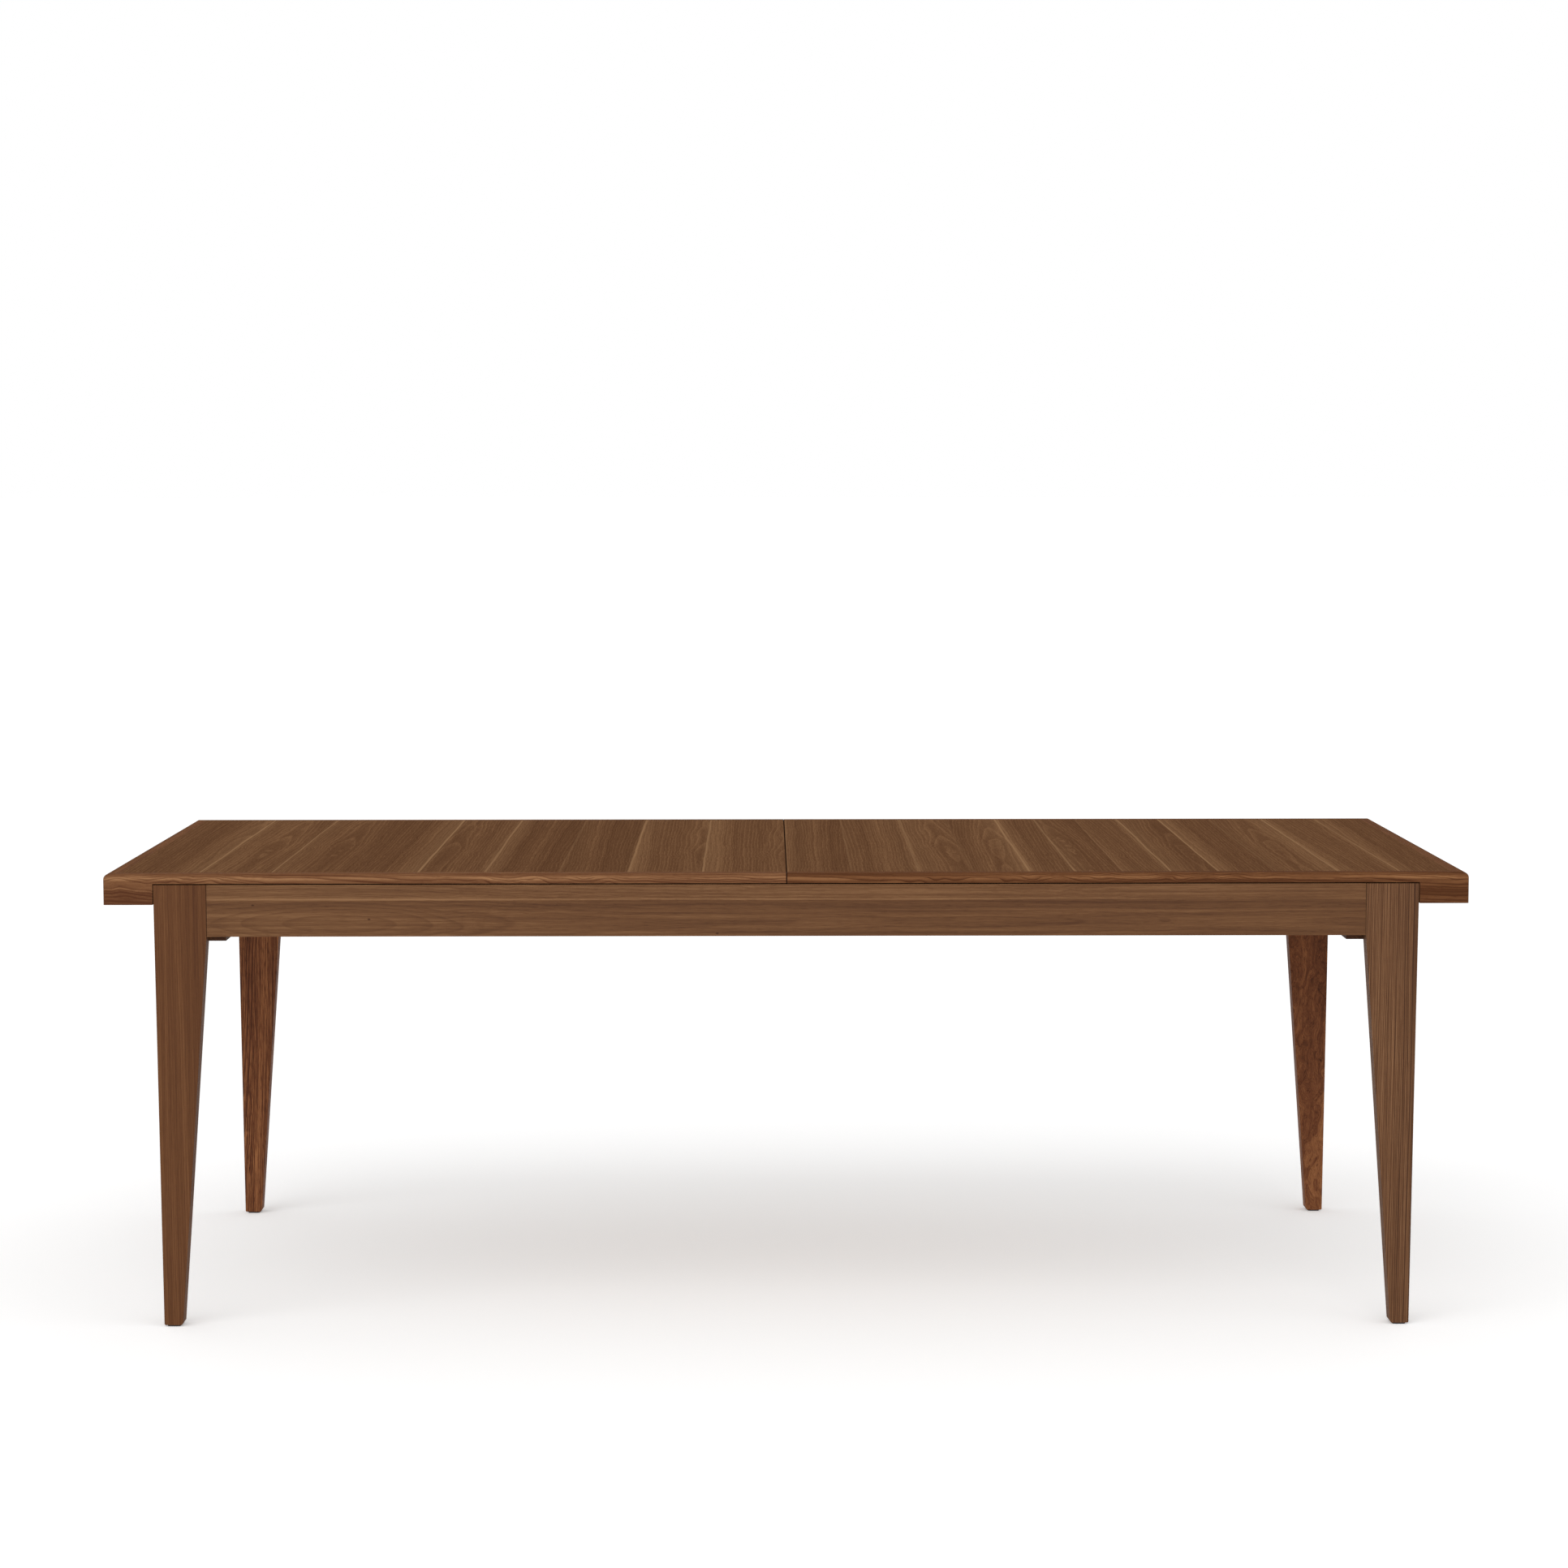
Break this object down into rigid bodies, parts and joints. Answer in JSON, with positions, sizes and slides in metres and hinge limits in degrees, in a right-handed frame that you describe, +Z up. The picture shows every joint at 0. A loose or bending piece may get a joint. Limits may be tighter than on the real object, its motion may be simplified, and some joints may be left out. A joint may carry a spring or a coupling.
{
  "type": "extending dining table",
  "caption": "Rectangular walnut dining table on flat tapered legs. Its split top runs apart on geared wooden slides, and loose leaves are stored inside.",
  "frame": {"origin": "on the floor under the middle of the closed top", "axes": "+X along the length to the right, +Y from the front to the rear, +Z up"},
  "size_m": [2.2, 0.95, 0.74],
  "materials": {
    "walnut_veneer": "satin oiled",
    "walnut_lipping": "satin oiled",
    "walnut_rail": "satin oiled",
    "walnut_leg": "satin oiled",
    "beech": "waxed",
    "pale_nylon": "moulded",
    "dark_nylon": "moulded",
    "zinc_steel": "zinc plated",
    "felt": "pressed felt"
  },
  "bodies": {
    "base": {"leg_front_left": "walnut_leg", "leg_front_right": "walnut_leg", "leg_rear_left": "walnut_leg", "leg_rear_right": "walnut_leg", "foot_glides": "dark_nylon", "side_rail_front": "walnut_rail", "side_rail_rear": "walnut_rail", "end_rail_left": "walnut_rail", "end_rail_right": "walnut_rail", "corner_blocks": "beech", "corner_screws": "zinc_steel", "guide_front": "beech", "guide_rear": "beech", "guide_screws": "zinc_steel", "slide_pads": "pale_nylon", "pinion_axles": "zinc_steel", "leaf_bearer_left": "beech", "leaf_bearer_right": "beech", "leaf_stops": "beech", "bearer_felts": "felt"},
    "left_half": {"left_board": "walnut_veneer", "left_end_board": "walnut_lipping", "left_front_lip": "walnut_lipping", "left_rear_lip": "walnut_lipping", "left_front_runner": "beech", "left_rear_runner": "beech", "left_racks": "pale_nylon", "left_runner_screws": "zinc_steel", "left_seam_pins": "zinc_steel", "left_stop_peg": "beech"},
    "right_half": {"right_board": "walnut_veneer", "right_end_board": "walnut_lipping", "right_front_lip": "walnut_lipping", "right_rear_lip": "walnut_lipping", "right_front_runner": "beech", "right_rear_runner": "beech", "right_racks": "pale_nylon", "right_runner_screws": "zinc_steel", "right_seam_pins": "zinc_steel", "right_stop_peg": "beech"},
    "front_pinion": {"pinion_front": "pale_nylon"},
    "rear_pinion": {"pinion_rear": "pale_nylon"},
    "lower_leaf": {"lower_leaf_board": "walnut_veneer", "lower_leaf_lips": "walnut_lipping", "lower_leaf_pins": "zinc_steel", "leaf_felts": "felt"},
    "upper_leaf": {"upper_leaf_board": "walnut_veneer", "upper_leaf_lips": "walnut_lipping", "upper_leaf_pins": "zinc_steel"}
  },
  "joints": [
    {"name": "left_half_slide", "type": "slide", "parent": "base", "child": "left_half", "axis": [-1, 0, 0], "range_m": [0, 0.5]},
    {"name": "right_half_slide", "type": "slide", "parent": "base", "child": "right_half", "axis": [1, 0, 0], "range_m": [0, 0.5]},
    {"name": "front_pinion_spin", "type": "hinge", "parent": "base", "child": "front_pinion", "pos_m": [0, -0.391, 0.686], "axis": [0, 0, -1], "range_deg": [0, 1194]},
    {"name": "rear_pinion_spin", "type": "hinge", "parent": "base", "child": "rear_pinion", "pos_m": [0, 0.391, 0.686], "axis": [0, 0, -1], "range_deg": [0, 1194]},
    {"name": "lower_leaf_lift", "type": "slide", "parent": "base", "child": "lower_leaf", "axis": [0, 0, 1], "range_m": [0, 0.01]},
    {"name": "upper_leaf_lift", "type": "slide", "parent": "lower_leaf", "child": "upper_leaf", "axis": [0, 0, 1], "range_m": [0, 0.01]}
  ],
  "couplings": [
    {"joint": "right_half_slide", "follows": "left_half_slide", "ratio": 1},
    {"joint": "front_pinion_spin", "follows": "left_half_slide", "rad_per_m": 41.667},
    {"joint": "rear_pinion_spin", "follows": "left_half_slide", "rad_per_m": 41.667}
  ]
}
